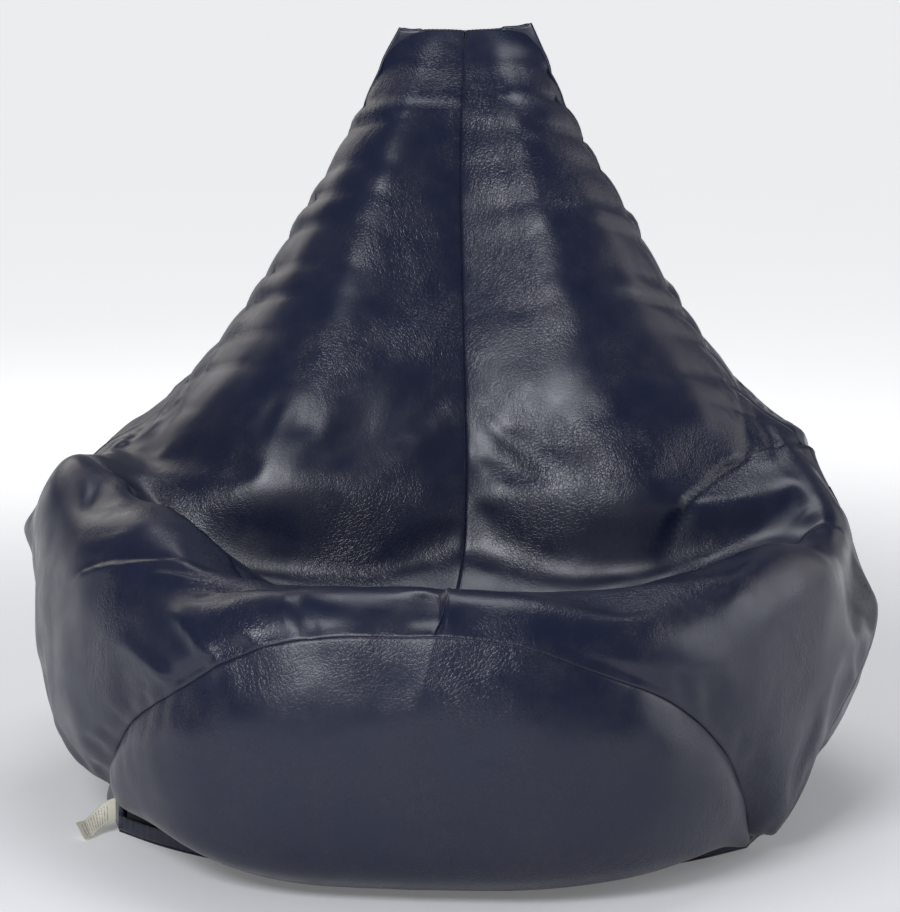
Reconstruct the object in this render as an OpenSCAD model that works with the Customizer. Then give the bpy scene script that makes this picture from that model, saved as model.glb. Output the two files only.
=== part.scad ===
// Bean bag chair: a tall, teardrop-shaped floor seat sewn from seven pieces of
// leather-look cover cloth, closed by a curved zip under its front edge, over a
// zipped inner liner that holds the loose beads.
// Millimetres. +Z is up and the sitter faces -Y. The origin is on the floor,
// under the middle of the base.

/* [Body] */
// Width across the two arms
body_w = 854; // [800:2:910]
// Height to the seam along the top of the back
body_h = 770; // [720:2:820]
// Height of the upright band above the floor that carries the zip
band_h = 40; // [38:1:44]

/* [Cloth] */
// Thickness of the leather-look cover
cover_t = 1.5; // [1:0.1:1.8]
// Thickness of the inner liner
liner_t = 0.7; // [0.4:0.1:0.8]
// Width left open between two panels where their seam runs
seam_gap = 1.6; // [1.4:0.1:2]
// Diameter of the sewing thread
thread_d = 0.9; // [0.6:0.1:1]

/* [Zip] */
// Radius of the arc that the zip follows along the front edge
zip_r = 420; // [410:1:430]
// Distance of that arc's centre behind the origin
zip_y = 120; // [110:1:130]
// Angle from the middle of the front to each end of the arc
zip_half = 46; // [44:0.5:48]
// Height of the middle of the chain above the floor
chain_z = 28; // [27:0.5:29]

/* [Liner zip] */
// Length of the straight zip in the liner's base
liner_zip_l = 420; // [300:10:440]

/* [Hidden] */
$fn = 64;

NAVY = [0.17, 0.19, 0.27];
BLACK = [0.06, 0.06, 0.07];
CREAM = [0.90, 0.87, 0.78];
WHITE = [0.93, 0.93, 0.91];
STEEL = [0.45, 0.45, 0.47];

// ---- The hand-chosen shape, for the right half at its reference size ----
REF_W = 854;
REF_H = 770;
EDGE_STAND = 2.6;                      // cover edge outside the middle of the zip tape
edge_r = zip_r + EDGE_STAND;           // radius of the cover's edge along the zip
seam_z = 2.4;                          // height of the seam round the base
base_t = 1.6;
zip_room = 1.2;                        // room kept inside the zip, before each layer's own depth
corner = [edge_r * sin(zip_half), zip_y - edge_r * cos(zip_half), band_h];
ref_corner = [302, -172, 40];

// Seat panel: rows from the top seam over the back, the seat and the front roll to
// the curved front seam. Each row runs from the middle seam to the side seam.
SEAT_NET = [
    [[0, 226, 760], [14, 226, 761], [28, 227, 762], [42, 228, 764], [56, 229, 766], [69, 230, 770]],
    [[0, 184, 682], [28, 176, 682], [57, 170, 681], [83, 181, 677], [103, 199, 672], [116, 218, 668]],
    [[0, 142, 585], [45, 128, 586], [93, 120, 584], [136, 141, 577], [163, 173, 567], [178, 203, 560]],
    [[0, 98, 489], [60, 85, 490], [125, 76, 487], [185, 105, 477], [224, 148, 464], [243, 186, 455]],
    [[0, 54, 402], [78, 36, 402], [163, 28, 400], [240, 60, 391], [290, 112, 380], [316, 160, 372]],
    [[0, 18, 316], [94, 0, 312], [192, -8, 312], [282, 34, 322], [345, 84, 336], [383, 118, 335]],
    [[0, -14, 234], [112, -28, 222], [226, -28, 238], [318, 4, 298], [374, 36, 330], [410, 62, 285]],
    [[0, -98, 205], [120, -108, 208], [234, -98, 236], [316, -78, 294], [378, -46, 314], [427, 8, 232]],
    [[0, -205, 228], [125, -212, 236], [235, -196, 264], [316, -168, 288], [376, -118, 262],
        [411, -54, 158]],
    [[0, -290, 268], [123, -286, 272], [230, -262, 276], [304, -228, 254], [357, -172, 184],
        [384, -105, 100]],
    [[0, -352, 284], [120, -346, 280], [220, -318, 252], [284, -276, 202], [332, -212, 124],
        [350, -145, 60]],
    [[0, -392, 254], [110, -386, 247], [195, -358, 216], [252, -312, 165], [290, -252, 102], ref_corner]
];

// Rear panel: how far back and how high the middle seam is at each row, and how
// round the row is from there to the side seam (1 is an ellipse, less is fuller).
REAR_MIDDLE = [[226, 760], [262, 680], [305, 582], [345, 482], [378, 398], [400, 322], [412, 244],
    [413, 176], [407, 120], [394, 78], [376, 46], [350, 20], [322, seam_z]];
REAR_ROUND = [1, 0.95, 0.92, 0.9, 0.9, 0.9, 0.95, 1, 1, 1, 1, 1, 1];
// How far each row's centre has moved from abreast of the side seam (0) to the base's centre (1)
REAR_CENTRED = [0, 0, 0, 0, 0, 0, 0.33, 0.67, 1, 1, 1, 1, 1];

// Front panel: its columns fall from the curved seam, over the belly, under it and
// back up to the zip. Each row holds the share of the overhang, an added reach,
// the share of the height, and a drop.
FRONT_FALL = [[1, 0, 1, 0], [1, 20, 0.66, 0], [1, 18, 0.30, 4], [0.9, 6, 0.05, 18], [0.45, 4, 0, 33],
    [0.22, 6, 0, 16], [0.08, 5, 0, 1], [0, 0, 0, 0]];
FRONT_WEIGHT = [1, 1, 0.9, 0.72, 0.45, 0];

// A filled bag never stands quite even: each settled place has a centre, a reach
// and a shift.
SETTLED = [
    [[383, 118, 335], 90, [-26, 0, 14]],
    [[-383, 118, 335], 80, [6, 0, -8]],
    [[430, 0, 210], 110, [4, 0, -22]],
    [[-430, 0, 240], 110, [-2, 0, 14]],
    [[-325, -55, 310], 75, [0, 0, 22]],
    [[-245, -150, 265], 70, [0, 0, 50]],
    [[-205, -215, 270], 60, [0, 0, 18]],
    [[395, -25, 300], 85, [0, 0, -46]],
    [[0, 60, 400], 160, [12, 0, 0]],
    [[0, -20, 260], 120, [14, 0, 0]],
    [[0, -330, 280], 110, [36, 0, 0]]
];

// ---- Grids ----
STEPS = 2;                             // facets along each span of the hand-chosen points
SPANS = len(SEAT_NET[0]) - 1;
nu = STEPS * SPANS;
nv = STEPS * (len(SEAT_NET) - 1);
nf = STEPS * (len(FRONT_FALL) - 1);
nb = STEPS;

function stretch(p) =
    let(up = p.z - ref_corner.z)
    let(wide = 1 + (body_w / REF_W - 1) * min(1, max(0, up / 160)))
    [p.x * wide, p.y, band_h + up * (body_h - band_h) / (REF_H - ref_corner.z)];

// The last point of the last row is the corner on the zip's own arc
seat_net = [for (i = [0:len(SEAT_NET) - 1]) [for (k = [0:SPANS])
    i == len(SEAT_NET) - 1 && k == SPANS ? corner : stretch(SEAT_NET[i][k])]];

rear_y = -18;                          // centre of the base's rear arc
rear_r = norm([corner.x, corner.y - rear_y]);
rear_from = atan2(corner.y - rear_y, corner.x);

// The side seam's points, carried on down the corner's upright edge to the floor
side_points = concat([for (r = seat_net) r[SPANS]], [[corner.x, corner.y, seam_z]]);

function power(v, f) = sign(v) * pow(abs(v), f);
function rear_point(i, k) =
    let(s = side_points[i], m = stretch([0, REAR_MIDDLE[i][0], REAR_MIDDLE[i][1]]))
    let(mid_z = i == len(seat_net) ? seam_z : m.z)
    let(cy = s.y + (rear_y - s.y) * REAR_CENTRED[i])
    let(end = acos((s.y - cy) / (m.y - cy)), t = end * k / SPANS)
    [s.x * power(sin(t), REAR_ROUND[i]) / power(sin(end), REAR_ROUND[i]),
        cy + (m.y - cy) * power(cos(t), REAR_ROUND[i]),
        s.z + (mid_z - s.z) * cos(90 * k / SPANS)];
rear_net = [for (i = [0:len(seat_net)]) [for (k = [0:SPANS])
    i == 0 ? seat_net[0][k] : k == SPANS ? side_points[i] : rear_point(i, k)]];

front_net = [for (f = FRONT_FALL) [for (k = [0:SPANS])
    let(a = seat_net[len(SEAT_NET) - 1][k], flat = [a.x, a.y - zip_y], reach = norm(flat))
    let(r = edge_r + (reach - edge_r) * f[0] + f[1] * FRONT_WEIGHT[k])
    let(p = flat / reach * r)
    [p.x, p.y + zip_y, band_h + (a.z - band_h) * f[2] - f[3] * FRONT_WEIGHT[k]]]];

// Smooth curve through a list of points or of whole rows
function along(c, t) =
    let(i = min(floor(t), len(c) - 2), f = t - i, p1 = c[i], p2 = c[i + 1])
    let(p0 = i > 0 ? c[i - 1] : 2 * p1 - p2, p3 = i < len(c) - 2 ? c[i + 2] : 2 * p2 - p1)
    0.5 * (2 * p1 + (p2 - p0) * f + (2 * p0 - 5 * p1 + 4 * p2 - p3) * f * f
        + (3 * p1 - p0 - 3 * p2 + p3) * f * f * f);

function settled(p) =
    let(share = [for (s = SETTLED) exp(-pow(norm(p - s[0]) / s[1], 2))])
    p + share * [for (s = SETTLED) s[2]];

// Points of one net: side is 1 for the right half and -1 for the left
function grid(net, rows, side) = [for (i = [0:rows])
    let(row = along(net, i * (len(net) - 1) / rows))
    [for (j = [0:nu]) let(p = along(row, j / STEPS)) settled([side * p.x, p.y, p.z])]];

SIDES = [1, -1];
seat = [for (s = SIDES) grid(seat_net, nv, s)];
front = [for (s = SIDES) grid(front_net, nf, s)];
// The upright band below the front panel, from the zip seam to the base seam
band = [for (h = [0, 1]) [for (i = [0:nb]) [for (j = [0:nu])
    let(p = front[h][nf][j]) [p.x, p.y, p.z + (seam_z - p.z) * i / nb]]]];
// The rear panel meets the seat panel down to the corner, and the band's upright edge below it
rear = [for (h = [0, 1]) let(g = grid(rear_net, nv + nb, SIDES[h]))
    [for (i = [0:nv + nb]) [for (j = [0:nu])
        j < nu ? g[i][j] : i <= nv ? seat[h][i][nu] : band[h][i - nv][nu]]]];

// ---- Normals ----
function unit(v) = v / norm(v);
function cell_normal(g, i, j, side) =
    side * unit(cross(g[i + 1][j + 1] - g[i][j], g[i][j + 1] - g[i + 1][j]));
function cells(g, i, j, side) = [
    for (a = [i - 1, i]) for (b = [j - 1, j])
        if (a >= 0 && b >= 0 && a < len(g) - 1 && b < len(g[0]) - 1) cell_normal(g, a, b, side)];
function total(v, n = 0) = n == len(v) ? [0, 0, 0] : v[n] + total(v, n + 1);
// Moving a point against this vector moves it the same distance below every face round it
function mitre(normals) =
    let(s = total(normals), m = len(normals) * s / (s * s))
    norm(m) > MITRE_MAX ? m * MITRE_MAX / norm(m) : m;
MITRE_MAX = 3.2;
DOWN = [[0, 0, -1], [0, 0, -1]];

function seat_mitre(h) = [for (i = [0:nv]) [for (j = [0:nu]) mitre(concat(
    cells(seat[h], i, j, SIDES[h]),
    j == 0 ? cells(seat[1 - h], i, 0, -SIDES[h]) : [],
    j == nu ? cells(rear[h], i, nu, -SIDES[h]) : [],
    i == 0 && j < nu ? cells(rear[h], 0, j, -SIDES[h]) : [],
    i == 0 && j == 0 ? cells(rear[1 - h], 0, 0, SIDES[h]) : [],
    i == nv ? cells(front[h], 0, j, SIDES[h]) : [],
    i == nv && j == 0 ? cells(front[1 - h], 0, 0, -SIDES[h]) : []))]];
function rear_mitre(h) = [for (i = [0:nv + nb]) [for (j = [0:nu])
    i <= nv && (j == nu || i == 0) ? seat_mitres[h][i][j]
    : mitre(concat(
        cells(rear[h], i, j, -SIDES[h]),
        j == 0 ? cells(rear[1 - h], i, 0, SIDES[h]) : [],
        j == nu ? cells(band[h], i - nv, nu, SIDES[h]) : [],
        i == nv + nb ? DOWN : []))]];
function front_mitre(h) = [for (i = [0:nf]) [for (j = [0:nu])
    i == 0 || j == nu ? seat_mitres[h][nv][j]
    : mitre(concat(
        cells(front[h], i, j, SIDES[h]),
        j == 0 ? cells(front[1 - h], i, 0, -SIDES[h]) : [],
        i == nf ? cells(band[h], 0, j, SIDES[h]) : []))]];
function band_mitre(h) = [for (i = [0:nb]) [for (j = [0:nu])
    i == 0 ? front_mitres[h][nf][j]
    : j == nu ? rear_mitres[h][nv + i][nu]
    : mitre(concat(
        cells(band[h], i, j, SIDES[h]),
        j == 0 ? cells(band[1 - h], i, 0, -SIDES[h]) : [],
        i == nb ? DOWN : []))]];
seat_mitres = [seat_mitre(0), seat_mitre(1)];
rear_mitres = [rear_mitre(0), rear_mitre(1)];
front_mitres = [front_mitre(0), front_mitre(1)];
band_mitres = [band_mitre(0), band_mitre(1)];

// ---- Solids from grids ----
function rounded(p) = [round(p.x * 1000) / 1000, round(p.y * 1000) / 1000, round(p.z * 1000) / 1000];
function below(g, m, d) = [for (i = [0:len(g) - 1]) [for (j = [0:len(g[0]) - 1]) g[i][j] - m[i][j] * d]];
// What lies deeper than the cover's own cloth is also held back from the zip and its slider,
// except where the cloth gathers above each end of the zip
function behind_zip(p, d) =
    let(flat = [p.x, p.y - zip_y], r = norm(flat))
    let(held = zip_r - zip_room - d - (edge_r - r) * 0.3)
    let(past_end = abs(flat.x) > r * sin(zip_half - 0.6))
    d <= cover_t || r < held || r > edge_r || p.z > band_h + 8 || (p.z > band_h && past_end) ? p
    : [flat.x / r * held, zip_y + flat.y / r * held, p.z];
function layer(g, m, d) = [for (r = below(g, m, d)) [for (p = r) behind_zip(p, d)]];
// Left and right halves joined into one grid, seen as the right half is
function joined(v) = [for (i = [0:len(v[0]) - 1])
    concat([for (j = [nu:-1:1]) v[1][i][j]], v[0][i])];
function half(v, h) = let(g = joined(v)) [for (r = g) [for (j = [0:nu]) r[h == 0 ? nu + j : j]]];

function toward(a, b, d) = a == b ? [0, 0, 0] : unit(b - a) * d;
function inset(g, d) =
    let(r = len(g) - 1, c = len(g[0]) - 1)
    [for (i = [0:r]) [for (j = [0:c])
        g[i][j]
        + (i == 0 ? toward(g[0][j], g[1][j], d) : [0, 0, 0])
        + (i == r ? toward(g[r][j], g[r - 1][j], d) : [0, 0, 0])
        + (j == 0 ? toward(g[i][0], g[i][1], d) : [0, 0, 0])
        + (j == c ? toward(g[i][c], g[i][c - 1], d) : [0, 0, 0])]];

function flat(rows) = [for (r = rows) for (p = r) rounded(p)];
// Faces of a grid: the two halves split their cells as mirror images, on each side of middle
function split(a, b, d, e, right) = right ? [[a, b, d], [b, e, d]] : [[a, b, e], [a, e, d]];
function sheet_faces(r, c, first, turned, middle) = [for (i = [0:r - 1]) for (j = [0:c - 1])
    let(a = first + i * (c + 1) + j, d = a + c + 1)
    for (t = split(a, a + 1, d, d + 1, j >= middle)) turned ? [t[2], t[1], t[0]] : t];
function rim(r, c) = concat(
    [for (j = [0:c - 1]) j],
    [for (i = [0:r - 1]) i * (c + 1) + c],
    [for (j = [c:-1:1]) r * (c + 1) + j],
    [for (i = [r:-1:1]) i * (c + 1)]);

// A sewn panel: its outer and inner faces, closed round the rim
module panel(g, m, outer_d, inner_d, side, middle, d = seam_gap / 2) {
    r = len(g) - 1;
    c = len(g[0]) - 1;
    half = (r + 1) * (c + 1);
    edge = rim(r, c);
    cut = inset(g, d);
    walls = [for (n = [0:len(edge) - 1])
        let(a = edge[n], b = edge[(n + 1) % len(edge)])
        for (t = side > 0 ? [[a, a + half, b + half], [a, b + half, b]]
            : [[a, b + half, a + half], [a, b, b + half]]) t];
    polyhedron(
        concat(flat(layer(cut, m, outer_d)), flat(layer(cut, m, inner_d))),
        concat(sheet_faces(r, c, 0, side < 0, middle), sheet_faces(r, c, half, side > 0, middle), walls));
}

// A sewing thread along a seam: a thin tube that stops short of both ends
module thread(path, normals) {
    n = len(path) - 1;
    sides = 6;
    end = 3;
    line = [for (i = [0:n])
        i == 0 ? path[0] + toward(path[0], path[1], end)
        : i == n ? path[n] + toward(path[n], path[n - 1], end) : path[i]];
    rings = [for (i = [0:n])
        let(t = unit(line[min(i + 1, n)] - line[max(i - 1, 0)]))
        let(b = unit(cross(t, normals[i])), u = cross(b, t))
        for (k = [0:sides - 1]) line[i] + thread_d / 2 * (cos(60 * k) * u + sin(60 * k) * b)];
    sleeve = [for (i = [0:n - 1]) for (k = [0:sides - 1])
        let(a = i * sides + k, b = i * sides + (k + 1) % sides)
        for (t = [[a, b, b + sides], [a, b + sides, a + sides]]) t];
    polyhedron([for (p = rings) rounded(p)], concat(sleeve,
        [[for (k = [sides - 1:-1:0]) k]], [[for (k = [0:sides - 1]) n * sides + k]]));
}

// ---- Cover ----
module seat_panel(h) {
    color(NAVY) panel(half(seat, h), half(seat_mitres, h), 0, cover_t, 1, nu * h);
}
module rear_panel(h) {
    color(NAVY) panel(half(rear, h), half(rear_mitres, h), 0, cover_t, -1, nu * h);
}
module front_panel() {
    color(NAVY) panel(joined(front), joined(front_mitres), 0, cover_t, 1, nu);
}

// Outline of the base: the zip's arc at the front and a rounder arc at the rear
module base_outline(inside) {
    front_arc = [for (n = [0:24]) let(a = -90 - zip_half + 2 * zip_half * n / 24)
        [0, zip_y] + (edge_r - inside) * [cos(a), sin(a)]];
    sweep = 180 - 2 * rear_from;
    rear_arc = [for (n = [1:39]) let(a = rear_from + sweep * n / 40)
        [0, rear_y] + (rear_r - inside) * [cos(a), sin(a)]];
    polygon(concat(front_arc, rear_arc));
}
module base_panel() {
    color(NAVY) linear_extrude(base_t) base_outline(0.4);
}

// ---- Zip, made as arcs about the zip's own upright axis ----
chain_half = zip_half - 1.6;           // the chain stops short of the corner seams
slider_from = -zip_half + 3.2;         // resting place of the slider, closed
slider_l = 11;                         // length along the arc
slider_half = slider_l / 2 / zip_r * 57.2958;
coil_t = 2.4;
coil_from = 0.8;                       // nearest and furthest edges of a coil from the chain's middle
coil_to = 3.2;
tape_t = 0.6;

// Sweeps boxes [low radius, high radius, low z, high z] about the zip's axis
module arc_band(from, to, boxes) {
    translate([0, zip_y, 0]) rotate([0, 0, from - 90])
        rotate_extrude(angle = to - from)
            for (b = boxes) translate([b[0], b[2]]) square([b[1] - b[0], b[3] - b[2]]);
}
facing_top = 17;
module zip_facing() {
    color(NAVY) arc_band(-zip_half + 0.3, zip_half - 0.3,
        [[edge_r - cover_t, edge_r, seam_z + 0.6, facing_top]]);
}
tape_in = zip_r - tape_t / 2;
tape_out = zip_r + tape_t / 2;
module zip_tape_upper() {
    color(BLACK) arc_band(-chain_half, chain_half,
        [[tape_in, tape_out, chain_z + coil_to, band_h + 0.5]]);
}
module zip_tape_lower() {
    color(BLACK) arc_band(-chain_half, chain_half,
        [[tape_in, tape_out, facing_top - 6, chain_z - coil_to]]);
}
module zip_coil(low, high) {
    color(BLACK) arc_band(-chain_half, chain_half,
        [[zip_r - coil_t / 2, zip_r + coil_t / 2, chain_z + low, chain_z + high]]);
}
module zip_coil_upper() {
    zip_coil(coil_from, coil_to);
}
module zip_coil_lower() {
    zip_coil(-coil_to, -coil_from);
}
// Bars that close both ends of the chain
module zip_end_stops() {
    color(STEEL) for (s = SIDES)
        arc_band(s * (chain_half + 0.15) - 0.12, s * (chain_half + 0.15) + 0.12,
            [[zip_r - coil_t / 2, zip_r + coil_t / 2, chain_z - coil_to, chain_z + coil_to]]);
}
// Two plates joined by a thin post, with flanges that hold the tapes in, and a crown
slider_h = 9.4;
plate_t = 1.2;
play = 0.4;
module slider(r_mid) {
    inner = r_mid - coil_t / 2 - play;
    outer = r_mid + coil_t / 2 + play;
    flange = 0.9;
    tape_room = tape_t / 2 + play;
    low = chain_z - slider_h / 2;
    high = chain_z + slider_h / 2;
    arc_band(slider_from - slider_half, slider_from + slider_half, [
        [inner - plate_t, inner, low, high],
        [outer, outer + plate_t, low, high],
        [inner - 0.01, r_mid - tape_room, low, low + flange],
        [r_mid + tape_room, outer + 0.01, low, low + flange],
        [inner - 0.01, r_mid - tape_room, high - flange, high],
        [r_mid + tape_room, outer + 0.01, high - flange, high]]);
    arc_band(slider_from - slider_half, slider_from - slider_half + 0.3,
        [[inner - 0.01, outer + 0.01, chain_z - 0.4, chain_z + 0.4]]);
}
crown_r = 2.6;
crown_t = 1;
module crown() {
    translate([0, zip_y, chain_z]) rotate([0, 0, slider_from - 90])
        translate([zip_r + coil_t / 2 + play + plate_t - 0.2, 0, 0])
            rotate([90, 0, 90]) rotate([90, 0, 0])
                rotate_extrude(angle = 180) translate([crown_r, 0]) circle(d = crown_t, $fn = 24);
}
module zip_slider() {
    color(STEEL) {
        slider(zip_r);
        crown();
    }
}

// ---- Care label, sewn into the left corner seam and lying down to the floor ----
LABEL_W = 22;
LABEL_T = 0.5;
LABEL_LINE = [[2.5, 22], [13, 18.5], [24, 11.5], [34, 5], [42, 1.2]];
label_turn = 190;                      // heading of the label away from the corner
module care_label() {
    root = [-corner.x, corner.y];
    color(CREAM) translate([root.x, root.y, 0]) rotate([0, 0, label_turn])
        rotate([90, 0, 0]) linear_extrude(LABEL_W, center = true)
            polygon(concat(LABEL_LINE,
                [for (k = [len(LABEL_LINE) - 1:-1:0]) LABEL_LINE[k] + [0, LABEL_T]]));
}

// ---- Threads ----
function column(g, j) = [for (r = g) r[j]];
module thread_seat_centre() {
    color(NAVY) thread(column(seat[0], 0), column(seat_mitres[0], 0));
}
module thread_rear_centre() {
    color(NAVY) thread(column(rear[0], 0), column(rear_mitres[0], 0));
}
module thread_sides() {
    color(NAVY) for (h = [0, 1]) thread(column(seat[h], nu), column(seat_mitres[h], nu));
}
module thread_top() {
    color(NAVY) thread(joined(seat)[0], joined(seat_mitres)[0]);
}
// This thread stops one facet short of both corners, where the two panels run to a point
function trimmed(v) = [for (n = [1:len(v) - 2]) v[n]];
module thread_front_arc() {
    color(NAVY) thread(trimmed(joined(front)[0]), trimmed(joined(front_mitres)[0]));
}
module thread_base() {
    color(NAVY) thread(joined(rear)[nv + nb], joined(rear_mitres)[nv + nb]);
}

// ---- Liner and beads ----
liner_out = 2.6;
liner_in = liner_out + liner_t;
fill_in = 5.4;
liner_inset = 0.4;

module liner_seat() {
    color(WHITE) panel(joined(seat), joined(seat_mitres), liner_out, liner_in, 1, nu, liner_inset);
}
module liner_rear() {
    color(WHITE) panel(joined(rear), joined(rear_mitres), liner_out, liner_in, -1, nu, liner_inset);
}
// The front panel and the band below it are one piece in the liner
module liner_front() {
    g = concat(joined(front), [for (i = [1:nb]) joined(band)[i]]);
    m = concat(joined(front_mitres), [for (i = [1:nb]) joined(band_mitres)[i]]);
    color(WHITE) panel(g, m, liner_out, liner_in, 1, nu, liner_inset);
}
liner_zip_slot = 9;
liner_z = seam_z + liner_out;
liner_slot_l = liner_zip_l + 8;
module liner_base() {
    color(WHITE) difference() {
        translate([0, 0, liner_z]) linear_extrude(liner_t) base_outline(9);
        translate([-liner_slot_l / 2, -liner_zip_slot / 2, liner_z - 1])
            cube([liner_slot_l, liner_zip_slot, liner_t + 2]);
    }
}
small_coil_t = 1.4;
small_coil_to = 1.9;
small_coil_from = 0.5;
small_play = 0.3;
small_plate = 0.7;
small_mid = liner_z + liner_t / 2;
module liner_zip_tapes() {
    color(WHITE) for (s = SIDES)
        translate([-liner_zip_l / 2, s > 0 ? small_coil_to : -liner_zip_slot / 2, liner_z])
            cube([liner_zip_l, liner_zip_slot / 2 - small_coil_to, liner_t]);
}
module liner_zip_coils() {
    color(WHITE) for (s = SIDES)
        translate([-liner_zip_l / 2, s > 0 ? small_coil_from : -small_coil_to, small_mid - small_coil_t / 2])
            cube([liner_zip_l, small_coil_to - small_coil_from, small_coil_t]);
}
// A small slider without a crown: two plates and a post
small_slider_l = 8;
small_slider_w = 6.4;
module liner_slider() {
    start = -liner_zip_l / 2 + 2;
    rise = small_coil_t / 2 + small_play;
    color(STEEL) translate([start, 0, small_mid]) {
        for (s = SIDES)
            translate([0, -small_slider_w / 2, s > 0 ? rise : -rise - small_plate])
                cube([small_slider_l, small_slider_w, small_plate]);
        translate([0, -0.25, -rise - 0.01]) cube([1.2, 0.5, 2 * rise + 0.02]);
    }
}

// The mass of beads: one closed solid just inside the liner
module bead_fill() {
    parts = [
        [joined(seat), joined(seat_mitres), 1],
        [joined(rear), joined(rear_mitres), -1],
        [joined(front), joined(front_mitres), 1],
        [joined(band), joined(band_mitres), 1]
    ];
    c = 2 * nu;
    sizes = [for (p = parts) len(p[0]) * (c + 1)];
    starts = [0, sizes[0], sizes[0] + sizes[1], sizes[0] + sizes[1] + sizes[2]];
    points = [for (p = parts) for (q = flat(layer(p[0], p[1], fill_in))) q];
    skins = [for (n = [0:3])
        for (f = sheet_faces(len(parts[n][0]) - 1, c, starts[n], parts[n][2] < 0, nu)) f];
    rear_low = starts[1] + sizes[1] - c - 1;
    band_low = starts[3] + sizes[3] - c - 1;
    middle = len(points);
    floor_z = points[band_low + nu].z;
    under = concat(
        [for (j = [0:c - 1]) [band_low + j, band_low + j + 1, middle]],
        [for (j = [0:c - 1]) [rear_low + j + 1, rear_low + j, middle]]);
    color(WHITE) polyhedron(concat(points, [[0, 0, floor_z]]), concat(skins, under));
}

front_panel();
seat_panel(1);  // seat_panel_left
seat_panel(0);  // seat_panel_right
rear_panel(1);  // rear_panel_left
rear_panel(0);  // rear_panel_right
base_panel();
zip_facing();
zip_tape_upper();
zip_tape_lower();
zip_coil_upper();
zip_coil_lower();
zip_end_stops();
zip_slider();
care_label();
thread_seat_centre();
thread_front_arc();
thread_sides();
thread_top();
thread_rear_centre();
thread_base();
liner_seat();
liner_rear();
liner_front();
liner_base();
liner_zip_tapes();
liner_zip_coils();
liner_slider();
bead_fill();
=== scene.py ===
import math

import bmesh
import bpy
import numpy as np
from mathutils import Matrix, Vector


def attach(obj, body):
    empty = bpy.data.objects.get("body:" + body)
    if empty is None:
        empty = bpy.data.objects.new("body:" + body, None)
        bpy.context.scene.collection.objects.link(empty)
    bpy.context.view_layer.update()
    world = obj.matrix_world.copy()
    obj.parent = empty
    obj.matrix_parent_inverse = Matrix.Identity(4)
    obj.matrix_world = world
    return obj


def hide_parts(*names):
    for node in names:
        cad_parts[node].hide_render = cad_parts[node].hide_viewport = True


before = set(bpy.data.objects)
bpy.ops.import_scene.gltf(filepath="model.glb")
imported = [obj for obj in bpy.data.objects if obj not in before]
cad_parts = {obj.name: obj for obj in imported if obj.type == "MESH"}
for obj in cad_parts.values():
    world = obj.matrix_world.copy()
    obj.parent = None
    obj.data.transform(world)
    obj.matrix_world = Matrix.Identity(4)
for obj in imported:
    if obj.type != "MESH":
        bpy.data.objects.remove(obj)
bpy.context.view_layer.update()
MM = 0.001

# ---- camera, light and floor
VIEW_AZIMUTH = math.radians(5)
VIEW_ELEVATION = math.radians(10)
VIEW_DISTANCE = 3.0
VIEW_TARGET = np.array([0.004, 0.0, 0.345])
LENS = 118.4
SENSOR_WIDTH = 36
COOL, WARM = (0.93, 0.95, 1.0), (1.0, 0.95, 0.88)
# Each soft light's name, place, target, width, height, watts and colour
LIGHTS = [
    ("overhead", (0.1, 0.35, 2.5), (0, 0, 0.3), 1.4, 1.0, 18, COOL),
    ("key", (-0.8, -2.2, 1.65), (0, 0, 0.35), 1.1, 0.8, 36, COOL),
    ("side_right", (2.5, 0.1, 1.0), (0.2, -0.2, 0.25), 1.3, 1.1, 10, COOL),
    ("rim_left", (-1.7, 1.9, 1.7), (0, 0, 0.3), 1.6, 1.5, 10, WARM),
    ("rim_right", (2.3, 1.3, 1.3), (0, 0, 0.3), 1.6, 1.5, 6, WARM),
]
BACKDROP = (("From Min", 0.0), ("From Max", 0.14), ("To Min", 0.80), ("To Max", 0.17))
FLOOR_HALF = 60.0
FLOOR_DROP = 0.0005                     # how far the floor lies below the bag


def add_object(name, data):
    thing = bpy.data.objects.new(name, data)
    bpy.context.scene.collection.objects.link(thing)
    return thing


def make_camera():
    back = np.array([math.sin(VIEW_AZIMUTH) * math.cos(VIEW_ELEVATION),
                     -math.cos(VIEW_AZIMUTH) * math.cos(VIEW_ELEVATION), math.sin(VIEW_ELEVATION)])
    camera = add_object("camera", bpy.data.cameras.new("camera"))
    camera.data.lens = LENS
    camera.data.sensor_width = SENSOR_WIDTH
    camera.location = VIEW_TARGET + back * VIEW_DISTANCE
    aim(camera, VIEW_TARGET)
    bpy.context.scene.camera = camera


def aim(thing, target):
    away = Vector(thing.location) - Vector(target)
    thing.rotation_mode = "QUATERNION"
    thing.rotation_quaternion = away.to_track_quat("Z", "Y")


def softbox(name, place, target, width, height, energy, colour):
    data = bpy.data.lights.new(name, "AREA")
    data.shape = "RECTANGLE"
    data.size = width
    data.size_y = height
    data.energy = energy
    data.color = colour
    light = add_object(name, data)
    light.location = place
    aim(light, target)


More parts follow.
